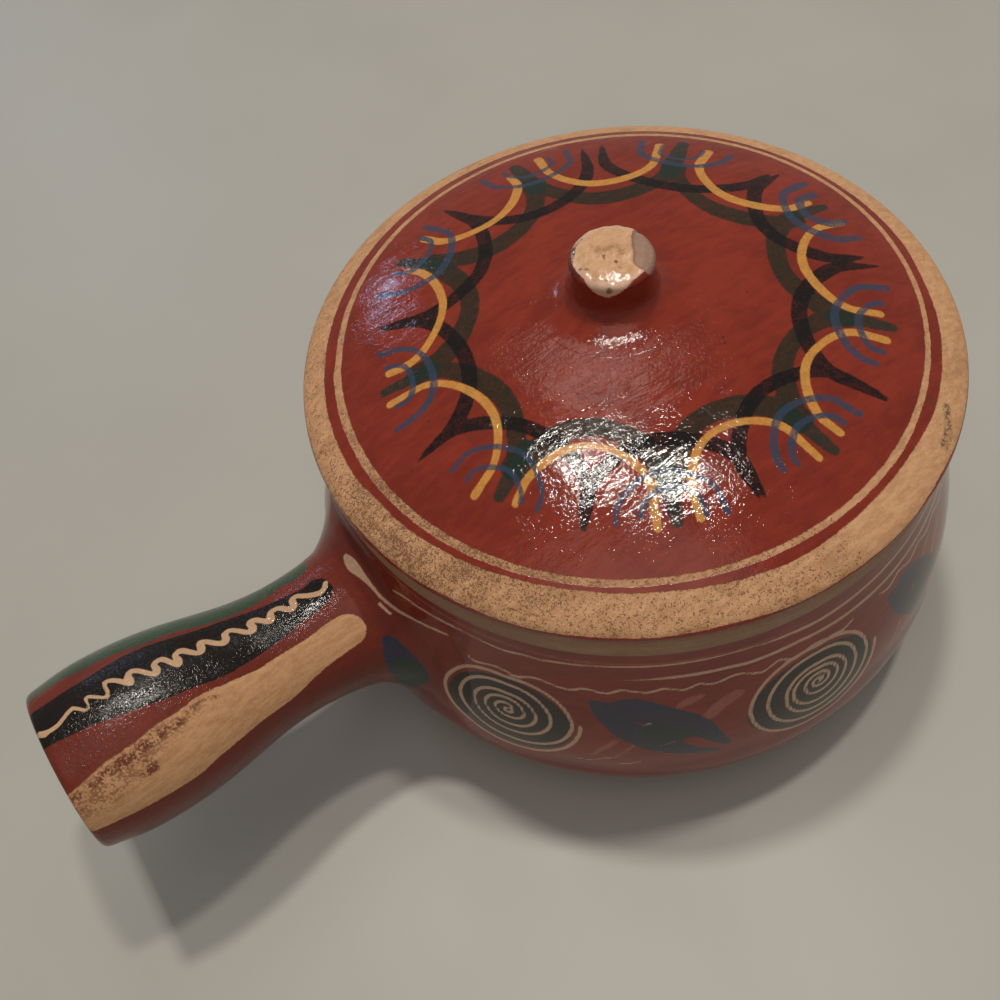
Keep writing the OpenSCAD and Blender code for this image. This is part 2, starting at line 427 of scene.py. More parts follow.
def drawn_round(tree, place):
    """A place squeezed along circles about the upright axis."""
    apart = node(tree, "SeparateXYZ", {0: place}).outputs
    squares = [sums(tree, "MULTIPLY", apart[i], apart[i]) for i in (0, 1)]
    across = sums(tree, "POWER", sums(tree, "ADD", *squares), 0.5)
    short = [sums(tree, "MULTIPLY", apart[i], 0.2) for i in (0, 1)]
    return node(tree, "CombineXYZ", {0: short[0], 1: short[1], 2: sums(tree, "SUBTRACT", across, apart[2])}).outputs[0]


def drawn_along(tree, place):
    """A place squeezed along the handle."""
    made = node(tree, "Mapping", {"Vector": place, "Rotation": (0, math.radians(-8), 0), "Scale": (0.15, 1, 1)})
    return made.outputs[0]


def drawn_across(tree, place):
    """A place squeezed along one straight pull of the brush over the lid."""
    made = node(tree, "Mapping", {"Vector": place, "Rotation": (0, 0, math.radians(22)), "Scale": (0.25, 1, 1)})
    return made.outputs[0]


def painted(name, layers, dry=(), drawn=drawn_round, wrinkle=0.5, fineness=520, ridge=0.2, wave=0.6,
            gloss=0.07, dull=0.06, shine=0.4, grit=0.3, depth=0.0002, specks=0.5, reds=REDS, pale=CREAMS):
    """Red slip with layers of paint (mark, colour, cover, ragged, soft, thin); dry marks have no glaze."""
    material = bpy.data.materials.new(name)
    material.use_nodes = True
    tree = material.node_tree
    shader = tree.nodes["Principled BSDF"]
    place = node(tree, "TexCoord").outputs["Object"]
    streaky = drawn(tree, place)
    grit, wrinkle, gloss = [node(tree, "Attribute", attribute_name=amount).outputs["Fac"]
                            if isinstance(amount, str) else amount for amount in (grit, wrinkle, gloss)]
    slip = use(tree, red_slip, {"Place": place, "Drawn": streaky, "Dark": reds[0], "Light": reds[1],
                                "Specks": specks})
    skin = use(tree, glaze_skin, {"Place": place, "Drawn": streaky, "Fineness": fineness, "Wrinkle": wrinkle,
                                  "Ridge": ridge, "Wave": wave, "Gloss": gloss, "Dull": dull})
    shader.inputs["Specular IOR Level"].default_value = shine
    sand = use(tree, gritty_slip, {"Place": place, "Drawn": streaky, "Pale": pale[0], "Warm": pale[1],
                                   "Dirt": CREAM_DIRT, "Grit": grit})
    colour, rough, rise = slip["Color"], skin["Roughness"], skin["Height"]
    for mark, tint, cover, ragged, soft, thin in layers:
        distance = node(tree, "Attribute", attribute_name=mark).outputs["Fac"]
        mask = use(tree, brush_mark, {"Place": place, "Distance": distance, "Ragged": ragged,
                                      "Soft": soft, "Cover": cover, "Thin": thin})["Mask"]
        colour = blend_colour(tree, mask, colour, sand["Color"] if tint is None else tint)
        if mark in dry:
            rough = node(tree, "Mix", {0: mask, 2: rough, 3: 0.78}).outputs[0]
            rise = node(tree, "Mix", {0: mask, 2: rise, 3: sand["Height"]}).outputs[0]
    tree.links.new(colour, shader.inputs["Base Color"])
    tree.links.new(rough, shader.inputs["Roughness"])
    bump = node(tree, "Bump", {"Height": rise, "Distance": depth, "Strength": 0.6})
    tree.links.new(bump.outputs[0], shader.inputs["Normal"])
    return material


# %% [markdown]
# Three finishes have no brushwork: bare fired clay on the base, the lid's ring and the handle's hollow;
# brown clear glaze inside the bowl and under the lid; and the cream slip of the mouth.


# %% Plain clay finishes
def clay(name, dark, light, rough, scale, depth, grit):
    """Fired clay with clouds of colour, grains and pits."""
    material = bpy.data.materials.new(name)
    material.use_nodes = True
    tree = material.node_tree
    shader = tree.nodes["Principled BSDF"]
    place = node(tree, "TexCoord").outputs["Object"]
    clouds = noise(tree, place, scale, 5.0, 0.6, 0.5)
    sand = use(tree, gritty_slip, {"Place": place, "Drawn": drawn_round(tree, place), "Pale": light,
                                   "Warm": dark, "Dirt": CREAM_DIRT, "Grit": grit})
    colour = blend_colour(tree, spread(tree, clouds, 0.35, 0.7, 0.0, 0.5), sand["Color"], dark)
    tree.links.new(colour, shader.inputs["Base Color"])
    tree.links.new(spread(tree, clouds, 0.3, 0.7, rough, rough + 0.12), shader.inputs["Roughness"])
    bump = node(tree, "Bump", {"Height": sand["Height"], "Distance": depth, "Strength": 0.5})
    tree.links.new(bump.outputs[0], shader.inputs["Normal"])
    return material


bare_clay = clay("bare clay", paint(150, 92, 62), paint(178, 118, 84), 0.8, 60, 0.0003, 0.2)
brown_glaze = clay("brown inner glaze", paint(112, 52, 28), paint(146, 76, 44), 0.22, 40, 0.0001, -0.6)
rim_slip = clay("cream rim slip", paint(146, 108, 80), paint(164, 124, 94), 0.5, 50, 0.0001, -0.4)

# %% [markdown]
# The bowl is turned from its base up over the belly to the neck and down the inside. The mesh follows
# the frame's own heights, with points under a millimetre apart where it is painted. The handle's axis is
# set here too, because strokes by its root are placed from it.

# %% Bowl shape
belly_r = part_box("bowl")[1].x / MM
neck_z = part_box("bowl")[1].z / MM
mouth_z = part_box("mouth_rim")[1].z / MM
BELLY_Z, FOOT_R, NECK_R, WALL, FLOOR = 34, 74, 92.5, 6.5, 8

lower_side = curve((FOOT_R, 0), (FOOT_R + 20, 2), (belly_r, BELLY_Z - 13), (belly_r, BELLY_Z))
upper_side = curve((belly_r, BELLY_Z), (belly_r, BELLY_Z + 26), (NECK_R + 4, neck_z - 24), (NECK_R, neck_z))
inner_side = curve((NECK_R - WALL, neck_z), (NECK_R - WALL + 4, neck_z - 24),
                   (belly_r - WALL, BELLY_Z + 28), (belly_r - WALL, BELLY_Z + 2))
inner_floor = curve((belly_r - WALL, BELLY_Z + 2), (belly_r - WALL, BELLY_Z - 12),
                    (FOOT_R + 14, FLOOR), (FOOT_R - 10, FLOOR))
bowl_line = np.vstack([
    walk([[(0, 0)], [(FOOT_R - 1, 0)]], 8), walk([lower_side], 1.0), walk([upper_side], 0.85)[1:],
    walk([inner_side], 3)[0:], walk([inner_floor, [(0, FLOOR)]], 4)[1:]])
side_line = np.vstack([lower_side, upper_side[1:]])


def belly_at(height):
    """Radius of the bowl's outside at a height."""
    return np.interp(height, side_line[:, 1], side_line[:, 0])


RISE = math.radians(8)
ROOT_Z = 44.7
along_axis = np.array((-math.cos(RISE), 0, math.sin(RISE)))
top_axis = np.array((math.sin(RISE), 0, math.cos(RISE)))
bowl_bm = turn(bowl_line, 600)
bowl_places = places_of(bowl_bm)
print("belly radius", round(belly_r, 1), "mm, neck at", round(neck_z, 1), "mm")

# %% [markdown]
# The belly is painted on a chart of degrees round the pot and millimetres up. A spiral is drawn from the
# middle out as its reach at each quarter turn: up, back, down and on. Seven spirals go round the pot with
# a leaf after each, which the shown side gives the spacing of.

# %% Belly figures
DEGREE = belly_r * math.pi / 180
SPIRAL_A = [0.6, 0.8, 1.2, 1.8, 2.8, 3.8, 3.4, 5.4, 5.2, 7.1, 7.2, 9.0, 7.4, 10.9, 10.7, 13.6, 11.4, 15.6,
            15.5, 19.9, 14.5, 20.8, 20.5, 22.3]
SPIRAL_B = [0, 0.1, 0.3, 0.7, 1.4, 2.6, 2.2, 3.1, 3.5, 5.2, 5.3, 6.3, 5.7, 9.0, 9.5, 9.4, 7.9, 11.4,
            13.3, 13.4, 12.5, 17.2, 16.8, 17.9, 15.5, 22.6, 20.8, 21.4]
LEAF = [(-10.4, 12), (-8.5, 12.5), (-7.2, 12.1), (-5.8, 13.5), (-3.5, 14.2), (-1.3, 13.1), (2.9, 9.3),
        (6.5, 5.1), (8.3, 2.1), (9.4, -1.3), (11.8, -10.9), (11.9, -13.7), (11.1, -13.5), (7.6, -7.5),
        (6, -5.4), (4.1, -6.2), (6.6, -11.4), (10.2, -15.5), (10, -16.7), (6.5, -15.6), (2.6, -13.4),
        (-1.1, -10.5), (-3.7, -7), (-6.8, -1.7), (-9.3, 5.4)]
MOSS = [(-1, 3.5), (1.3, 1.7), (4.4, -0.7), (6.6, -3.9), (5.3, -5.4), (3.5, -6.8), (0.8, -6.8), (-1.5, -5.6),
        (-2.4, -1.9), (-1.9, 2.2)]
ROSE_STRIPES = [
    [(3.7, 9.2, 1.8), (4.8, 10.7, 2.7), (6.1, 11.7, 2.8), (7.6, 12.7, 1.6)],
    [(8, 2.8, 3), (9, 4.3, 3.8), (10.4, 7, 4.2), (11.9, 8.7, 4.1), (13.1, 9.7, 3.4), (13.8, 10.1, 2.1)],
    [(-10.4, -15.3, 0.9), (-8.8, -11.2, 1.6), (-6.4, -5.8, 1.8)], [(-6.8, -15.8, 0.9), (-3.5, -7.8, 1.2)]]
# Thin pale cream marks on each leaf. The second one, just below the leaf's middle, is a painted highlight.
PALE_FLICKS_AND_HIGHLIGHT = [
    [(-2.2, 1.9, 0.4), (-1.4, 2.7, 0.7), (-0.6, 3.2, 0.4)], [(0.5, -8.5, 0.4), (1.7, -7.8, 0.6), (3, -6.6, 0.5)],
    [(-13.1, -18.4, 0.5), (-10.3, -18.3, 0.6), (-8.4, -16.3, 0.6), (-7.2, -15.9, 0.5)],
    [(-6.1, -19.2, 0.6), (-4.3, -19.4, 0.7), (-2.4, -17.5, 0.6)]]
RED_FLICK = [(-3.6, 3.9, 0.5), (-2.5, 3.2, 1.2), (-1.4, 2, 0.5)]


def spiral_line(reaches, width):
    """Samples of a spiral in mm from its middle, wound from the middle out."""
    turns = np.arange(len(reaches))
    t = np.linspace(0, len(reaches) - 1, 60 * len(reaches))
    reach = np.interp(t, turns, reaches)
    ease = t - np.floor(t)
    low = np.floor(t).astype(int)
    high = np.minimum(low + 1, len(reaches) - 1)
    reaches = np.array(reaches)
    mix = (1 - np.cos(ease * math.pi)) / 2
    reach = 0.5 * reach + 0.5 * (reaches[low] * (1 - mix) + reaches[high] * mix)
    angle = math.pi / 2 + t * math.pi / 2
    wide = width * (0.82 + 0.25 * t / t.max())
    return np.stack([reach * np.cos(angle), reach * np.sin(angle), wide], 1)


def chart(places, middle):
    """Places round the pot as mm across from a middle direction in degrees, and mm up."""
    turn_round = np.degrees(np.arctan2(places[:, 1], places[:, 0]))
    across = ((turn_round - middle + 180) % 360 - 180) * DEGREE
    return np.stack([across, places[:, 2]], 1)


def scaled(points, middle_z):
    """Figure points given in degrees across and mm up from a middle, as mm on the chart."""
    return [(p[0] * DEGREE, p[1] + middle_z, *p[2:]) for p in points]


def lay_figures(marks, places):
    """The seven spirals with their dark grounds, and the leaves between them."""
    for i in range(7):
        reaches, middle, height = ((SPIRAL_A, 212.8, 61), (SPIRAL_B, 264.7, 61.3))[i % 2]
        spun = middle if i < 2 else 316.6 + 47.6 * (i - 2)
        spot = chart(places, spun)
        lay_stroke(marks["cream"], spot, spiral_line(reaches, 1.25) + (0, height, 0), sampled=True)
        lean = 1.8 if i % 2 else 0
        oval = [(math.cos(a) * (19.8 + lean) - lean, height - 2.5 + math.sin(a) * 16.3)
                for a in np.linspace(0, 2 * math.pi, 16, endpoint=False)]
        lay_patch(marks["dark"], spot, oval)
        if i == 6:
            continue
        spot = chart(places, (237, 288.6)[i] if i < 2 else spun + 24.4)
        if i == 1:
            spot[:, 0] /= 0.8
        lay_patch(marks["leaf"], spot, scaled(LEAF, 61))
        lay_patch(marks["moss"], spot, scaled(MOSS, 61))
        lay_stroke(marks["red"], spot, scaled(RED_FLICK, 61))
        for stripe in ROSE_STRIPES:
            lay_stroke(marks["rose"], spot, scaled(stripe, 61))
        # These pale marks include a painted highlight on every leaf.
        for pale_mark in PALE_FLICKS_AND_HIGHLIGHT:
            lay_stroke(marks["cream"], spot, scaled(pale_mark, 61))


# %% [markdown]
# Between the mouth and the figures run thin brushed lines, one of them wavy, that fade and thicken as the
# pot was turned. Another wavy line runs below the figures. By the handle's root a leaf and a few short
# strokes fill the gap. Their chart is looked at along the handle: mm to the left and mm up from its axis.

# %% Belly lines
TOP_LINE = [(60, 87.2), (190, 86.0), (200, 86.7), (204, 87.5), (208, 87.4), (212, 86.7), (215.5, 87.6),
            (219, 87.4), (223, 88.1), (232, 88.6), (250, 88.8), (257, 88.0), (265, 86.9), (290, 86.8)]
MIDDLE_LINE = [(60, 82.0), (188.8, 82.1), (192, 80.8), (195.5, 80.8), (199.2, 82.1), (204, 82.0), (238, 83.2),
               (249, 83.0), (252, 82.4), (261, 82.7), (268, 81.8), (280, 81.3), (300, 81.6)]
WAVY_LINE = [(205.7, 77.8), (206.8, 76.8), (210.9, 78.4), (214.5, 77.3), (217.9, 78.8), (223, 76.8), (225.9, 78.2),
             (229.3, 77.0), (231.9, 78.6), (235.7, 77.5), (238.5, 78.6), (241.6, 77.3), (244.1, 78.7),
             (246.5, 77.6), (250.4, 79.0), (254.4, 76.6), (257.6, 78.6), (260.2, 76.4), (264, 77.9),
             (269.7, 76.5), (272, 77.6)]
ROOT_LEAF = [(-19.6, 14.3), (-22.1, 14.6), (-25.5, 11.7), (-30.5, 6.2), (-32.3, 1), (-30, -5.1), (-25.2, -12.3),
             (-23.5, -11.6), (-23.9, -3), (-22.9, 3.6), (-21.5, 9.1), (-20.2, 12.8)]
ROOT_MOSS = [(-24.8, 7.1), (-29.2, 7.2), (-32, 2.5), (-31.8, -1.5), (-30, -5), (-25.2, -12), (-23.6, -11.4),
             (-23.9, -3), (-23.4, 4)]
ROOT_STROKES = [
    [(3.4, 25.6, 1.2), (1, 25.8, 2.2), (-1.5, 26, 2.5), (-5.6, 25.9, 1.6), (-10.1, 25.2, 0.9), (-14.7, 23.8, 0.7),
     (-20.3, 22.6, 0.8), (-27.5, 23.5, 0.9), (-34.7, 24.8, 0.9)],
    [(-15.5, 27, 0.7), (-18.7, 27.8, 0.8), (-21.6, 28.2, 0.6)], [(-14.3, 22.5, 0.8), (-18.2, 21.1, 0.8)],
    [(-22.4, 28.1, 0.7), (-28.2, 28.9, 0.8), (-36.5, 30.5, 0.9)]]


def lay_line(field, places, heights, widths, ripple=0.0, pitch=6.6):
    """A line right round the pot. Heights and widths are given at some directions in degrees."""
    around = np.degrees(np.arctan2(places[:, 1], places[:, 0])) % 360
    level_mm = np.interp(around, *zip(*heights), period=360)
    level_mm = level_mm + ripple * np.cos(around / pitch * 2 * math.pi)
    half = np.interp(around, *zip(*widths), period=360) / 2
    away = np.abs(places[:, 2] - level_mm)
    near = away < 6
    field[near] = np.minimum(field[near], (away - half)[near])


def lay_lines(marks, places):
    """The lines above and below the figures, and the strokes by the handle's root."""
    cream = marks["cream"]
    lay_line(cream, places, TOP_LINE, [(60, 0.9), (160, 0.8), (165, -2), (193, -2), (197, 0.7), (215, 0.9), (240, 0.7),
                                       (252, 0.6), (262, 1.3), (288, 1.1)])
    lay_line(cream, places, MIDDLE_LINE, [(60, 1.2), (160, 1.0), (165, -2), (194, -2), (199, 0.8), (206, -0.4),
                                          (228, -0.4), (240, 1.2), (275, 1.3), (300, 1.2)])
    lay_line(cream, places, [(60, 77.8), (300, 77.6)], [(60, 0.8), (158, 0.8), (162, -2), (275, -2), (279, 1.0)], ripple=0.9)
    wavy = [((degree - 237) * DEGREE, height, 0.95) for degree, height in WAVY_LINE]
    lay_stroke(cream, chart(places, 237), wavy)
    lay_line(marks["rose"], places, [(60, 90.2), (200, 90.3), (270, 89.0)], [(60, 0.6), (230, 0.7), (262, 0.5)])
    facing = np.stack([places[:, 1], (places - (0, 0, ROOT_Z)) @ top_axis], 1)
    facing[places[:, 0] > 0] += 500
    lay_patch(marks["leaf"], facing, ROOT_LEAF)
    lay_patch(marks["moss"], facing, ROOT_MOSS)
    for stroke in ROOT_STROKES:
        lay_stroke(cream, facing, stroke)


def belly_brushwork(places, shown):
    """All the belly's marks on points of the bowl or of the clay drawn out over it."""
    marks = {label: np.full(len(places), FAR) for label in ("cream", "dark", "leaf", "moss", "rose", "red")}
    lay_figures(marks, places)
    lay_lines(marks, places)
    for values in marks.values():
        values[~shown] = FAR
    return marks


outside = np.hypot(bowl_places[:, 0], bowl_places[:, 1]) > belly_at(bowl_places[:, 2]) - 2
belly_marks = belly_brushwork(bowl_places, outside)
print("spirals and lines:", int((belly_marks["cream"] < 0).sum()), "points under cream")

# %% [markdown]
# The bowl's finish has the figures under a thick glaze. Its inside and base get their own finishes, by
# where each face lies.

# %% Bowl piece
SLATE, MOSSY, INK = paint(42, 54, 72), paint(48, 60, 48), paint(34, 34, 30)
BELLY_LAYERS = [
    ("rose", paint(166, 96, 80), 0.85, 0.5, 0.8, 0.3), ("dark", INK, 0.98, 0.6, 0.5, 0.06),
    ("leaf", SLATE, 0.97, 0.5, 0.5, 0.12), ("moss", MOSSY, 0.95, 1.4, 1.5, 0.15),
    ("red", paint(126, 48, 32), 0.9, 0.5, 0.4, 0.2), ("cream", paint(204, 166, 136), 0.92, 0.25, 0.35, 0.15)]
BELLY_SKIN = {"wrinkle": 0.15, "ridge": 0.1, "wave": 0.5, "gloss": 0.04, "dull": 0.04, "shine": 0.5}
belly_paint = painted("painted belly", BELLY_LAYERS, **BELLY_SKIN)


def bowl_finish(centre):
    """0 for the painted outside, 1 for the base, 2 for the inside."""
    radius = math.hypot(centre.x, centre.y)
    if centre.z < 0.4 and radius < FOOT_R + 1:
        return 1
    return 0 if radius > belly_at(centre.z) - 2 else 2


finish_piece("bowl_turned", bowl_bm, [belly_paint, bare_clay, brown_glaze], "pot", ["bowl"],
             belly_marks, bowl_finish)

# %% [markdown]
# The mouth rim is a separate coil of clay thrown on the neck. It is turned as its own small piece with
# soft edges, and its cream slip is smooth.

# %% Mouth rim piece
RIM_R, MOUTH_R = 94, 85.5
rim_line = np.vstack([
    walk([[(MOUTH_R, neck_z)], [(NECK_R, neck_z)]], 2),
    walk([curve((RIM_R - 0.8, neck_z + 0.3), (RIM_R + 0.4, neck_z + 1.5), (RIM_R + 0.4, mouth_z - 2),
                (RIM_R - 1, mouth_z))], 0.7),
    walk([curve((MOUTH_R + 1, mouth_z), (MOUTH_R + 0.4, mouth_z), (MOUTH_R, mouth_z - 0.4),
                (MOUTH_R, mouth_z - 1))], 0.5),
    [(MOUTH_R, neck_z)]])
finish_piece("rim_turned", turn(rim_line, 240), [rim_slip], "pot", ["mouth_rim"])

# %% [markdown]
# The handle is a thrown tube, luted on. It is turned round its own axis, laid over, and the clay at its
# root is drawn out along the belly, so that no seam shows: points that would sink into the belly ride up
# on it instead. Its own chart is mm along its axis and degrees round it, with 0 on top.

# %% Handle shape
END_R, GRIP_R, WAIST_R, HANDLE_WALL = 24.2, 26.2, 20.1, 6.5
reach = -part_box("handle")[0].x / MM
end_at = (199 - END_R * math.sin(RISE)) / math.cos(RISE)

grip_line = [curve((22.6, 108), (21.2, 113), (20.3, 119), (WAIST_R, 127)),
             curve((WAIST_R, 127), (WAIST_R, 146), (GRIP_R, 155), (GRIP_R, 178)),
             curve((GRIP_R, 178), (GRIP_R, 187), (END_R + 1, end_at - 8), (END_R, end_at - 2))]
lip_line = curve((END_R - 0.1, end_at - 1.6), (END_R - 0.6, end_at), (END_R - 1.2, end_at), (END_R - 2.4, end_at))
bore = HANDLE_WALL
hollow_line = [[(END_R - bore + 1.6, end_at)], [(END_R - bore, end_at - 2)],
               curve((GRIP_R - bore, 178), (GRIP_R - bore, 155), (WAIST_R - bore, 146), (WAIST_R - bore, 127)),
               [(WAIST_R - bore, 119)], [((WAIST_R - bore) * 0.7, 114)], [(0, 112)]]
root_line = curve((49, 84), (38, 92), (27, 100), (22.6, 108))
cap_line = walk([[(0, 84)], [(48.5, 84)]], 4)
handle_line = np.vstack([cap_line, walk([root_line], 0.8), walk(grip_line, 0.75)[1:], walk([lip_line], 0.6),
                         walk(hollow_line, 2.2)])
handle_bm = turn(handle_line, 304)
spun = places_of(handle_bm)
across = np.hypot(spun[:, 0], spun[:, 1])
upward = np.clip(spun[:, 0] / np.maximum(across, 1e-6), 0.3, 1)
room = (np.minimum(49, 34 / upward) - 28) / 21
narrowed = np.where((across > 28) & (spun[:, 2] < 112), 28 + (across - 28) * room, across)
spun[:, :2] *= (narrowed / np.maximum(across, 1e-6))[:, None]
print("handle reaches", round(reach, 1), "mm from the pot's axis")


def lay_over(spots):
    """Points turned about the upright axis, laid along the handle."""
    return (spots[:, :1] * top_axis + spots[:, 1:2] * np.array((0, 1, 0))
            + spots[:, 2:] * along_axis + np.array((0, 0, ROOT_Z)))


laid = lay_over(spun)
radius = np.hypot(laid[:, 0], laid[:, 1])
gap = radius - belly_at(laid[:, 2])
is_cap = (spun[:, 2] < 84.2) & (across < 48.7)
EASE = 3.0
skirt = np.hypot(spun[:, 0], spun[:, 1])
fade = np.clip((across - 36) / 12, 0, 1)
fade = 1 - fade * fade * (3 - 2 * fade)
outward = 0.5 * (gap + np.sqrt(gap ** 2 + EASE ** 2)) * fade - 0.3 * (1 - fade)
outward = np.where(is_cap, -3.0, np.where((gap < 14) & (spun[:, 2] < 112) & (skirt > 20.5), outward, gap))
sized = (belly_at(laid[:, 2]) + outward) / radius
laid[:, :2] *= sized[:, None]
move_to(handle_bm, laid)
bmesh.ops.recalc_face_normals(handle_bm, faces=handle_bm.faces)

# %% [markdown]
# Along the handle run one brush stroke of each colour: green, black with a cream zigzag on it, and a
# broad cream stroke that years of hands have worn through near the open end. The clay at its root carries
# the belly's own brushwork on.

# %% Handle brushwork
TURN = 24 * math.pi / 180
hand = laid - np.array((0, 0, ROOT_Z))
hand_chart = np.stack([hand @ along_axis, np.degrees(np.arctan2(hand[:, 1], hand @ top_axis)) * TURN], 1)
on_outside = np.hypot(hand[:, 1], hand @ top_axis) > np.interp(
    hand_chart[:, 0], [100, 127, 155, 178, 197.4], [12, 17, 20.5, 22, 20.5])


def on_handle(points):
    """Points given as mm along and degrees round, as mm on the handle's chart."""
    return [(p[0], p[1] * TURN, *p[2:]) for p in points]


BLACK_BAND = [
    (111.3, 1.3), (111.1, -4.4), (112.5, -8.6), (114.6, -11.7), (117.3, -13.8), (124.3, -16.6), (129.3, -19.8),
    (135.4, -22.3), (140.7, -24), (148.2, -25), (153.8, -23.8), (159.3, -22.3), (170.4, -19.1), (180.7, -15.2),
    (192.5, -11.9), (201, -9), (203, 4), (200, 17), (187.9, 17.1), (181.8, 17.2), (174.8, 19.4), (165, 21.1),
    (152.1, 18.5), (141.3, 18), (131.4, 15), (123.2, 12.5), (118.7, 10.5), (115.9, 12.3), (113.7, 11.1), (112, 7.1)]
GREEN_BAND = [
    (113.5, 32), (115.8, 27.3), (119.5, 25.5), (123.2, 28.3), (126.3, 25.9), (133, 22.1), (139.7, 21), (148.3, 21.9),
    (156.9, 25.2), (164.7, 24.8), (172.3, 27.4), (181.4, 27.8), (186.7, 30.7), (200, 35), (202, 48), (199, 58),
    (180, 62), (150, 64), (125, 60), (114, 48)]
CREAM_BAND = [
    (109.9, -49.8), (108.4, -41), (109.3, -33.3), (110.5, -30.2), (113, -27), (118.1, -27), (124.3, -29.8),
    (133.3, -30.9), (140.4, -32.2), (148.1, -30.6), (157.8, -28.6), (164, -30.8), (171.1, -32.2), (178.5, -35.1),
    (185.4, -36.5), (189, -38.4), (192.9, -41.5), (199, -46.3), (202, -60.7), (200, -75), (188, -75.7),
    (177.4, -75.6), (166.7, -75.2), (160, -72.2), (147.9, -69.8), (137.2, -69), (132.2, -66.5), (127.7, -62.2),
    (123.4, -58.7), (118.9, -56.2), (112.8, -53)]
ZIGZAG = [
    (112.2, 2.5, 1.6), (113.3, -0.6, 1.7), (114.9, -2.1, 1.9), (118, 1.2, 1.8), (120.7, 6.5, 1.7), (122, 7.4, 1.6),
    (122.8, 5.7, 1.9), (122.9, 1.8, 2.2), (123.6, -1, 2.2), (124.6, -1.6, 1.8), (126.5, 4.2, 1.9), (127.9, 6.1, 1.8),
    (129.4, 5.6, 1.8), (130.2, 2.9, 2.1), (130.6, -0.9, 2.4), (131.6, -1.5, 1.9), (134.2, 4.9, 2.0), (135.5, 6.1, 1.9),
    (136.3, 4, 2.1), (136.1, -0.1, 2.4), (136.7, -2.8, 2.0), (138.1, -2.1, 1.7), (140.8, 4.3, 1.8), (142.3, 5.9, 1.7),
    (143.8, 4, 1.9), (144, 0.1, 2.2), (144.9, -2.2, 2.0), (146.5, -1, 1.8), (149.5, 5, 1.8), (150.9, 4.3, 1.9),
    (151, 1.1, 2.3), (151.6, -1.8, 1.9), (152.9, -1.4, 1.6), (155.8, 4.7, 1.9), (157, 4.7, 1.5), (158.1, 2.6, 1.6),
    (157.8, -1, 2.0), (158, -3.4, 1.7), (158.9, -3.5, 1.5), (161.1, 3.8, 1.6), (162.7, 4.5, 1.5), (164, 2.7, 1.6),
    (163.8, -0.7, 2.0), (164.2, -3, 1.7), (165.4, -2.5, 1.4), (168.7, 4.9, 1.5), (170.1, 5.5, 1.5), (171.1, 3.3, 1.8),
    (171, 0.1, 2.0), (171.5, -1.4, 1.6), (174.1, 4.3, 1.3), (175.8, 6.8, 1.2), (177, 6.8, 1.2), (177.3, 3.6, 1.0),
    (177.3, -0.1, 1.0), (177.7, -2.4, 1.2), (178.6, -2.4, 1.0), (181.6, 2.9, 0.9), (182.8, 3.4, 0.9), (182.9, -0.1, 0.7),
    (183, -2.9, 0.8), (184, -3.7, 0.9), (186.4, 1.6, 1.0), (187.5, 1.8, 1.2), (191.5, -2.3, 1.2), (193.9, -2.7, 1.3),
    (195.8, -2.3, 1.8), (196.8, -0.3, 1.5)]
WORN = [[(162.6, -37.5, 0.8), (167.3, -37.9, 1.6), (173.1, -38.3, 2.6), (178.6, -40.8, 2.6), (184.9, -41.8, 2.6),
         (190.4, -44.8, 2.0), (196, -48, 1.4)],
        [(157, -32.5, 0.5), (162, -33, 0.7)], [(153.5, -34, 0.5), (156, -33.5, 0.5)]]
RUBBED = [(158, -35, 1.5), (170, -37.5, 6), (180, -41, 11), (190, -45, 15), (199, -46, 16)]
WORN_PATCH = [(176.5, -45.8), (174.1, -50.5), (174.9, -55.2), (177.1, -56.3), (179.3, -53.7), (178, -49.1)]
by_root = on_outside & (spun[:, 2] < 112)
handle_marks = belly_brushwork(laid, by_root)
handle_marks |= {label: np.full(len(laid), FAR) for label in ("green", "black", "creamband", "zigzag", "worn",
                                                                "rubbed")}
for label, outline in (("green", GREEN_BAND), ("black", BLACK_BAND), ("creamband", CREAM_BAND),
                       ("worn", WORN_PATCH)):
    lay_patch(handle_marks[label], hand_chart, on_handle(outline))
lay_stroke(handle_marks["zigzag"], hand_chart, on_handle(ZIGZAG))
lay_stroke(handle_marks["rubbed"], hand_chart, on_handle(RUBBED))
handle_marks["rubbed"] = np.maximum(handle_marks["rubbed"], handle_marks["creamband"] + 0.2)
for stroke in WORN:
    lay_stroke(handle_marks["worn"], hand_chart, on_handle(stroke))
for values in handle_marks.values():
    values[~on_outside] = FAR
tube = np.clip((spun[:, 2] - 98) / 20, 0, 1)
# The first key marks painted shade over the tube: a darker, browner red that grows in from the root along the tube.
handle_marks |= {"painted_tube_shade": 8 - 20 * np.clip((spun[:, 2] - 86) / 20, 0, 1), "wrinkle": 0.15 + 1.9 * tube, "gloss": 0.04 + 0.03 * tube}

# %% Handle piece
# The first layer is painted shade, which darkens and browns the handle's tube.
handle_paint = painted("painted handle", [
    ("painted_tube_shade", paint(100, 46, 36), 0.8, 0.0, 16.0, 0.4), *BELLY_LAYERS,
    ("green", paint(40, 74, 54), 0.96, 0.6, 0.7, 0.1), ("black", paint(26, 25, 23), 0.99, 0.5, 0.4, 0.03),
    ("creamband", None, 0.97, 0.5, 0.5, 0.08), ("rubbed", paint(124, 76, 52), 0.7, 2.0, 5.0, 0.9),
    ("worn", paint(108, 58, 40), 0.95, 3.0, 2.0, 0.85),
    ("zigzag", paint(200, 162, 128), 0.97, 0.3, 0.3, 0.1)],
    dry=("creamband", "rubbed", "worn"), drawn=drawn_along, wrinkle="wrinkle", fineness=1000, ridge=0.1, wave=0.6,
    gloss="gloss", dull=0.1, shine=0.24, grit=-0.3)


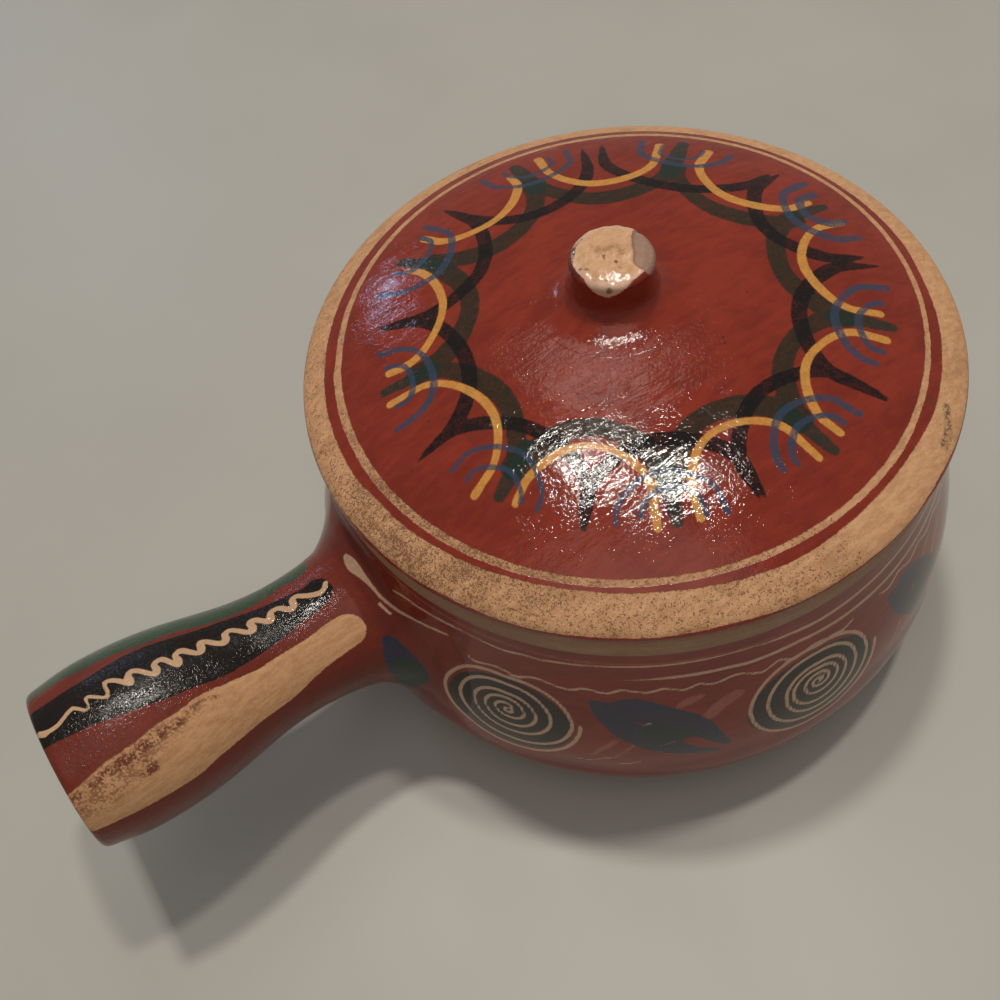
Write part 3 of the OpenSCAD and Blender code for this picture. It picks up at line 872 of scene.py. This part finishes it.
def handle_finish(centre):
    """0 for the painted outside, 1 for the hollow."""
    place = np.array(centre) - (0, 0, ROOT_Z)
    along = float(place @ along_axis)
    from_axis = math.hypot(place[1], float(place @ top_axis))
    skin_r = np.interp(along, [108, 127, 155, 178, end_at], [16, 17, 20, 22, END_R - 2.6])
    return 1 if along > 111 and from_axis < skin_r else 0


finish_piece("handle_luted", handle_bm, [handle_paint, bare_clay], "pot",
             ["handle", "handle_collar"], handle_marks, handle_finish)

# %% [markdown]
# The lid is a shallow dome with a sloping edge. Its top carries the wreath, so its points are closest
# there. The underside is plain.

# %% Lid shape
lid_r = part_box("lid")[1].x / MM
dome_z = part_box("lid")[1].z / MM
EDGE_UP, UNDER_IN, RING_IN, LID_T = 3.5, 3.4, 76.5, 7
edge_z = mouth_z + EDGE_UP
dome_line = curve((0, dome_z), (40, dome_z), (lid_r - 25, edge_z + 13), (lid_r - 12, edge_z + 7.2), 120)
slope_line = curve((lid_r - 12, edge_z + 7.2), (lid_r - 6, edge_z + 4.6), (lid_r - 0.2, edge_z + 2.6),
                   (lid_r, edge_z))
foot_line = curve((lid_r, edge_z), (lid_r - 0.2, edge_z - 1.6), (lid_r - UNDER_IN / 2, mouth_z),
                  (lid_r - UNDER_IN, mouth_z))
under_line = curve((RING_IN, mouth_z), (RING_IN - 14, mouth_z + 8), (40, dome_z - LID_T), (0, dome_z - LID_T))
inner_dome = dome_line[dome_line[:, 0] < 38]
outer_dome = dome_line[dome_line[:, 0] >= 38]
lid_line = np.vstack([walk([inner_dome], 1.5), walk([outer_dome, slope_line], 0.8), walk([foot_line], 0.6)[1:],
                      walk([[(RING_IN, mouth_z)], under_line], 3)])
lid_bm = turn(lid_line, 480)
lid_places = places_of(lid_bm)


def dome_at(radius):
    """Height of the lid's top at a radius."""
    line = np.vstack([dome_line, slope_line[1:]])
    return np.interp(radius, line[:, 0], line[:, 1])


# %% [markdown]
# The wreath is nine loops of each colour round the lid, none quite like the next. A loop is half an oval
# that opens outwards with straight ends. Its numbers are the middle and half width in degrees, the radius
# of its lowest point, how far up its round part goes, the radius of both ends, and the brush's width.

# %% Wreath
OLIVE = [(15.5, 20, 45, 15, 60, 60, 5.8), (58.3, 20.3, 42.8, 17, 60, 60, 6.0), (100.5, 20.5, 42.7, 17, 60, 60, 6.2),
         (143, 19.8, 42.7, 17, 60, 60, 6.2), (184.2, 19.8, 44.6, 15, 60, 60, 5.6),
         (224.6, 18.3, 43.2, 16, 60, 60, 6.0), (262.5, 17.8, 45, 15, 60, 60, 6.2),
         (299.3, 17, 47.2, 13, 60, 60, 5.6), (337, 18.8, 45.6, 14, 60, 60, 6.0)]
BLACK = [(355, 16.5, 49.6, 15, 71, 74, 4.5), (35.5, 21.5, 49.3, 16, 72, 75.5, 4.2), (82, 20.3, 44.5, 19, 74, 72.5, 4.2),
         (123, 20.3, 43.2, 17, 72.5, 70.8, 4.4), (164.3, 20.3, 46.2, 16, 70.8, 72.5, 4.4),
         (204.6, 19.8, 48.2, 15, 72.5, 71, 4.0), (243.2, 19, 47.5, 15, 71, 70.8, 4.2),
         (280, 18.2, 47.8, 15, 70.8, 75, 4.0), (316.5, 18.3, 48, 15, 75, 74.3, 4.5)]
OCHRE = [(15.2, 15, 52.2, 13, 69, 73, 3.0), (58.2, 15.2, 50.8, 14, 73.5, 74, 2.9), (98, 14.7, 52.8, 12, 69, 69, 2.7),
         (142, 16.5, 50.8, 13.5, 67, 67.5, 2.4), (183.8, 16.3, 49, 14, 70, 70.5, 2.3),
         (224.3, 15, 48.5, 14, 68.3, 70.5, 2.1), (262.7, 14.5, 49.8, 13.5, 70, 70, 2.1),
         (299, 13.6, 53, 12, 69.5, 71.5, 2.4), (335.3, 14.7, 52.2, 12.5, 70, 72, 2.6)]
BLUE = [(355.3, 10.2, 59.5, 9, 73.5, 75.5, 2.8), (36.3, 11.3, 62, 9, 74, 76, 2.3), (77.3, 11, 60.5, 9, 75, 75.5, 2.1),
        (121, 12, 55.5, 11, 72.5, 72.5, 2.4), (163.4, 11.6, 56, 11, 69.5, 71.5, 2.0),
        (203.2, 10.7, 55.3, 10, 68.3, 68, 1.5), (242.5, 11, 56, 10, 69, 70.5, 1.6),
        (280.3, 10.8, 55.5, 10.5, 67, 70.5, 2.0), (317, 10.9, 57.5, 10, 69.5, 73.5, 2.3),
        (356, 5.3, 64.5, 5, 73, 73.5, 3.0), (37, 5.5, 65.5, 5, 73, 73.5, 1.5), (77, 6, 65.3, 5.5, 73, 73.5, 1.8),
        (119.5, 7, 63.5, 6, 70.5, 71, 2.0), (163, 6.5, 61.8, 6, 68, 69, 1.7), (203.3, 6.5, 61, 6, 68.3, 67.5, 1.5),
        (243, 6.5, 60.5, 6, 67.5, 69.5, 1.5), (280, 7, 60.8, 6, 68, 68.5, 1.9), (316.5, 6.7, 63.8, 6, 71, 70.8, 2.0)]
DABS = [(356.7, 60, 72, 4.5), (37.5, 57, 76, 6), (79.7, 57, 74, 6), (122, 56, 71, 4.8), (163.6, 55, 70.5, 4.2),
        (205.2, 54, 68, 5.2), (243.6, 55, 69.5, 4.8), (280.7, 56, 71, 4.8), (317, 57, 73, 4.8)]


def from_polar(degrees, radii, widths):
    """Stroke samples in mm from degrees, radii and widths."""
    angle = np.radians(degrees)
    return np.stack([radii * np.cos(angle), radii * np.sin(angle), widths], 1)


def loop(middle, half, lowest, rise, left_end, right_end, width, pointed=False):
    """Samples of one loop, from its left end round to its right one."""
    t = np.linspace(-1, 1, 140) * math.pi / 2
    degrees = middle + half * np.sin(t) + 0.5 * np.sin(3 * t + middle)
    radii = lowest + rise * (1 - np.cos(t))
    legs = [np.linspace(1, 0, 30)[:-1], np.linspace(0, 1, 30)[1:]]
    top = lowest + rise
    degrees = np.concatenate([np.full(29, degrees[0]), degrees, np.full(29, degrees[-1])])
    radii = np.concatenate([top + (left_end - top) * legs[0], radii, top + (right_end - top) * legs[1]])
    along = np.linspace(-1, 1, len(radii))
    widths = width * (1 + 0.10 * np.sin(5 * along + middle))
    if pointed:
        widths = width * np.clip(1.15 - np.abs(along) ** 3, 0.12, 1)
    return from_polar(degrees, radii, widths)


wreath_chart = lid_places[:, :2]
lid_marks = {label: np.full(len(lid_places), FAR) for label in ("olive", "dab", "black", "ochre", "blue", "scuff")}
for shape in OLIVE:
    lay_stroke(lid_marks["olive"], wreath_chart, loop(*shape), sampled=True)
for shape in BLACK:
    lay_stroke(lid_marks["black"], wreath_chart, loop(*shape, pointed=True), sampled=True)
for shape in OCHRE:
    lay_stroke(lid_marks["ochre"], wreath_chart, loop(*shape), sampled=True)
for shape in BLUE:
    lay_stroke(lid_marks["blue"], wreath_chart, loop(*shape), sampled=True)
for middle, low, high, width in DABS:
    radii = np.linspace(low, high, 40)
    widths = width * (1 - 0.35 * ((radii - low) / (high - low)) ** 2)
    lay_stroke(lid_marks["dab"], wreath_chart, from_polar(np.full(40, middle), radii, widths), sampled=True)
print("wreath loops:", len(OLIVE) + len(BLACK) + len(OCHRE) + len(BLUE), "and", len(DABS), "dabs")

# %% [markdown]
# Round the wreath run a cream line and a broad dry cream band down over the edge, with a red stripe
# between them. Both were held against the turning lid, so their edges wander slowly, with a step where
# the brush came round again.

# %% Lid bands
lid_turn = np.degrees(np.arctan2(lid_places[:, 1], lid_places[:, 0])) % 360
lid_out = np.hypot(lid_places[:, 0], lid_places[:, 1])
on_top = (lid_places[:, 2] > mouth_z + 0.2) & (lid_places[:, 2] > dome_at(np.minimum(lid_out, lid_r)) - 5)
TURNED_DOWN = 94.3
lid_out = np.where(lid_out > TURNED_DOWN, TURNED_DOWN + dome_at(TURNED_DOWN) - lid_places[:, 2], lid_out)
lid_out = np.where(lid_places[:, 2] < edge_z, lid_r + edge_z - lid_places[:, 2] + 2, lid_out)
LINE_IN = [(0, 82.5), (20, 82.4), (60, 81.0), (90, 81.0), (149, 81.4), (152, 81.8), (180, 82.0), (270, 82.0),
           (340, 82.2)]
LINE_OUT = [(0, 84.4), (20, 84.4), (60, 83.2), (90, 83.0), (149, 83.5), (152, 84.2), (165, 84.3), (186, 84.2),
            (220, 83.8), (260, 83.5), (290, 83.9), (320, 83.6), (340, 84.0)]
BAND_IN = [(0, 86.6), (20, 86.6), (60, 86.2), (90, 86.6), (140, 87.0), (160, 87.5), (178, 87.3), (184, 86.2),
           (190, 86.4), (205, 85.7), (220, 85.0), (240, 85.2), (256, 86.2), (260, 86.5), (280, 85.6), (290, 85.8),
           (302, 87.0), (325, 86.7), (335, 86.3), (342, 87.0)]
inner = np.interp(lid_turn, *zip(*LINE_IN), period=360)
outer = np.interp(lid_turn, *zip(*LINE_OUT), period=360)
band = np.interp(lid_turn, *zip(*BAND_IN), period=360)
under_edge = lid_r - 0.2 + 0.25 * np.sin(np.radians(lid_turn) * 7) + 0.2 * np.sin(np.radians(lid_turn) * 17)
lid_marks["line"] = np.maximum(inner - lid_out, lid_out - outer)
lid_marks["band"] = np.maximum(band - lid_out, lid_out - under_edge)
lid_marks["grit"] = np.interp(lid_turn, [0, 60, 160, 178, 200, 215, 235, 262, 275, 300],
                              [0.0, 0.1, 0.3, 0.8, 1.0, 0.6, 0.45, 0.45, 0.0, 0.1], period=360)
smudge = [[(296, 92.3), (300, 91.4), (303.5, 89.6)], [(302.6, 85.8), (303.4, 84.6)]]
for marks, width in zip(smudge, (2.2, 1.6)):
    degrees, radii = (np.array(side) for side in zip(*marks))
    spots = from_polar(degrees, radii, np.full(len(radii), width))
    lay_stroke(lid_marks["scuff"], wreath_chart, spots)
for values in lid_marks.values():
    values[~on_top] = FAR
lid_marks["grit"][~on_top] = 0

# %% Lid piece
OLIVE_TINT, DAB_TINT, OCHRE_TINT = paint(38, 40, 28), paint(28, 46, 38), paint(204, 144, 70)
LID_SKIN = {"wrinkle": 0.9, "fineness": 900, "ridge": 1.0, "wave": 1.5, "gloss": 0.02, "dull": 0.035, "shine": 0.4,
            "drawn": drawn_across}
lid_paint = painted("painted lid", [
    ("line", None, 0.95, 0.45, 0.35, 0.2), ("band", None, 0.98, 0.5, 0.35, 0.05),
    ("olive", OLIVE_TINT, 0.95, 0.6, 0.7, 0.12), ("dab", DAB_TINT, 0.93, 0.6, 0.7, 0.15),
    ("black", paint(22, 18, 18), 0.98, 0.5, 0.5, 0.15), ("ochre", OCHRE_TINT, 0.95, 0.35, 0.45, 0.2),
    ("blue", paint(50, 64, 84), 0.92, 0.45, 0.4, 0.25), ("scuff", paint(70, 58, 46), 0.8, 1.6, 1.0, 0.8)],
    dry=("band", "line"), grit="grit", **LID_SKIN)


def lid_finish(centre):
    """0 for the painted top, 1 for the underside."""
    radius = math.hypot(centre.x, centre.y)
    return 0 if centre.z > mouth_z + 0.2 and centre.z > dome_at(min(radius, lid_r)) - 5 else 1


finish_piece("lid_turned", lid_bm, [lid_paint, brown_glaze], "lid_top", ["lid"], lid_marks,
             lid_finish)

# %% [markdown]
# Under the lid a ring of bare clay drops into the mouth, so that the lid can't slide off.

# %% Lid ring piece
RING_R, RING_T, RING_H = 82, 5.5, 9
ring_z = mouth_z - RING_H
ring_mid = RING_R - RING_T / 2
ring_line = np.vstack([
    walk([[(RING_IN, mouth_z)], [(RING_R, mouth_z)]], 1.5),
    walk([curve((RING_R, mouth_z - 1), (RING_R - 0.2, ring_z + 2), (RING_R - 1, ring_z), (ring_mid, ring_z))], 0.8),
    walk([curve((ring_mid, ring_z), (RING_IN + 0.6, ring_z), (RING_IN + 0.2, ring_z + 3), (RING_IN, mouth_z - 1))],
         0.8)[1:], [(RING_IN, mouth_z)]])
finish_piece("lid_ring_turned", turn(ring_line, 200), [bare_clay], "lid_seat", ["lid_ring"])

# %% [markdown]
# The knob is a stub of clay luted on by hand a little off the middle. Its foot flares into the dome as
# the handle's root does into the belly. Its top is uneven, dipped in cream that ran down the front.

# %% Knob shape
KNOB_R, KNOB_H, KNOB_FOOT = 11.7, 16, 16.5
KNOB_AT = np.array((-1.2, 2.1, 0))
knob_z = dome_z + KNOB_H
FOOT_END = 22.5
foot_side = curve((FOOT_END, 0.03), (KNOB_R + 4, 0.03), (KNOB_R + 0.4, 1.8), (KNOB_R - 0.1, 7))
knob_side = np.vstack([
    foot_side, curve((KNOB_R - 0.1, 7), (KNOB_R - 0.3, KNOB_H - 6), (KNOB_R + 0.2, KNOB_H - 5),
                     (KNOB_R, KNOB_H - 2.6)),
    curve((KNOB_R, KNOB_H - 2.6), (KNOB_R - 0.4, KNOB_H - 0.3), (KNOB_R - 4, KNOB_H), (0, KNOB_H + 0.1))])
knob_line = np.vstack([walk([[(0, -4)], [(FOOT_END + 1, -4)]], 2), [(FOOT_END + 1, -0.35)], walk([knob_side], 0.4)])
knob_bm = turn(knob_line, 200)
bmesh.ops.translate(knob_bm, vec=KNOB_AT, verts=knob_bm.verts)
knob_places = places_of(knob_bm)
grown = np.clip(knob_places[:, 2] / 7, 0, 1)
grown = grown * grown * (3 - 2 * grown)
flat_r = np.hypot(knob_places[:, 0], knob_places[:, 1])
knob_places[:, 2] += dome_at(flat_r) * (1 - grown) + dome_z * grown

# %% [markdown]
# Fingers left the knob's top lumpy, with its front lip pressed flat, and a chip is gone from its right side.
# All are moved in the mesh, because they change its outline.

# %% Knob wear
PRESSED_AT = math.radians(236)
spot = knob_places - KNOB_AT
from_top = np.clip((spot[:, 2] - (knob_z - 6)) / 6, 0, 1)
lumps = (0.22 * np.sin(spot[:, 0] * 0.55 + 1) * np.cos(spot[:, 1] * 0.5)
         + 0.12 * np.sin(spot[:, 0] * 1.3 - spot[:, 1] * 1.1))
knob_places[:, 2] += (lumps - 0.3) * from_top
pressed = knob_z - 0.85 - 0.31 * (spot[:, :2] @ (math.cos(PRESSED_AT), math.sin(PRESSED_AT)) - 8.6)
knob_places[:, 2] = -0.12 * np.logaddexp(-knob_places[:, 2] / 0.12, -pressed / 0.12)
CHIP = [(11, 3.6), (7.6, 1.2), (4.3, -3.8), (2.1, -6.9), (3.2, -10.8), (7.6, -10.5), (11.5, -6.2), (12.5, -2),
        (12.6, 2.4)]
upper = spot[:, 2] > knob_z - 3.2
chip = np.full(len(spot), FAR)
lay_patch(chip, spot[:, :2], CHIP)
chip[~upper] = FAR
knob_places[:, 2] -= 0.5 * np.clip(-chip / 0.7, 0, 1) * upper
knob_places[:, 2] += 0.15 * np.exp(-((chip - 0.5) / 0.4) ** 2) * upper
move_to(knob_bm, knob_places)
bmesh.ops.recalc_face_normals(knob_bm, faces=knob_bm.faces)

# %% Knob brushwork
SLIP_ENDS = [(0, 142.4), (60, 141.8), (120, 142.8), (154, 143.4), (171, 143.4), (184.8, 142.6), (195.4, 141.7),
             (205.9, 140.5), (215.4, 138.8), (228.1, 138.4), (238.5, 139.4), (255, 141.6), (270.8, 143), (285, 143.4),
             (330, 142.2)]
SMUDGE = [(-3, 5.4, 1.0), (-2.3, 2.8, 1.6), (-0.7, 1.4, 1.8), (1.7, 0.3, 1.4), (2, -1.9, 1.0)]
SPOTS = [[(-1.4, -3.8, 1.0), (-1.7, -4.5, 0.5)], [(-1.9, -5.7, 0.6), (-1.6, -6.2, 0.4)], [(-2.5, 0, 0.8), (-2.9, -0.8, 0.4)]]
BARED = [(-2.4, 9.8, 0.4), (-5, 8.9, 0.9), (-8, 6.9, 1.1), (-10.4, 4.1, 1.2), (-11.3, 1.3, 0.9), (-11.1, -0.8, 0.4)]
PITS = [(-9.1, -2.7), (-9.2, -4.5), (-8.9, -0.6), (-8, -5.5), (-5.5, -8.3), (-9.9, 0.8), (-6.8, -6.7)]
side_turn = np.degrees(np.arctan2(spot[:, 1], spot[:, 0])) % 360
ends = np.interp(side_turn, *zip(*SLIP_ENDS), period=360)
top_r = np.hypot(spot[:, 0], spot[:, 1])
knob_marks = {"slip": np.where(upper & (top_r < 10.9), top_r - 11.4, ends - spot[:, 2]), "chip": chip}
for label in ("smudge", "bared", "dot"):
    knob_marks[label] = np.full(len(spot), FAR)
lay_stroke(knob_marks["smudge"], spot[:, :2], SMUDGE)
lay_stroke(knob_marks["bared"], spot[:, :2], BARED)
for mark in SPOTS:
    lay_stroke(knob_marks["dot"], spot[:, :2], mark)
for x, y in PITS:
    lay_stroke(knob_marks["dot"], spot[:, :2], [(x, y, 0.5), (x + 0.3, y - 0.4, 0.3)])
for label in ("smudge", "bared", "dot"):
    knob_marks[label][~upper] = FAR
knob_marks["lip"] = np.maximum(9.6 - top_r, knob_marks["slip"])
front = math.radians(229.6)
front_spot = np.array((math.cos(front) * KNOB_R, math.sin(front) * KNOB_R, 140.8))
knob_marks["dot"] = np.minimum(knob_marks["dot"], np.linalg.norm((spot - front_spot) * (1, 1, 0.8), axis=1) - 0.8)
knob_paint = painted("painted knob", [
    ("slip", None, 0.98, 0.7, 0.3, 0.05), ("lip", paint(226, 190, 170), 0.6, 1.6, 1.4, 0.3),
    ("chip", paint(146, 114, 98), 0.95, 0.4, 0.4, 0.12), ("smudge", paint(146, 104, 70), 0.8, 2.4, 2.2, 0.5),
    ("bared", paint(74, 34, 28), 0.9, 1.6, 0.4, 0.6), ("dot", paint(92, 60, 42), 0.9, 0.8, 0.5, 0.2)],
    dry=("chip",), grit=0.05, pale=(paint(220, 176, 138), paint(202, 154, 112)), **LID_SKIN)
finish_piece("knob_luted", knob_bm, [knob_paint], "lid_top", ["knob", "knob_collar"], knob_marks)

# %% [markdown]
# The table is one plain pale sheet, faintly cloudy, that takes the shadow and mirrors a little light.

# %% Table
table_bm = bmesh.new()
bmesh.ops.create_grid(table_bm, x_segments=1, y_segments=1, size=4.0)
table_mesh = bpy.data.meshes.new("table")
table_bm.to_mesh(table_mesh)
table_bm.free()
table = bpy.data.objects.new("table", table_mesh)
bpy.context.scene.collection.objects.link(table)
pale = bpy.data.materials.new("pale table")
pale.use_nodes = True
tree = pale.node_tree
place = node(tree, "TexCoord").outputs["Object"]
cloud = noise(tree, place, 9, 3.0)
tint = blend_colour(tree, cloud, paint(172, 169, 160), paint(182, 179, 171))
tree.links.new(tint, tree.nodes["Principled BSDF"].inputs["Base Color"])
tree.links.new(spread(tree, cloud, 0.3, 0.7, 0.42, 0.5), tree.nodes["Principled BSDF"].inputs["Roughness"])
table_mesh.materials.append(pale)
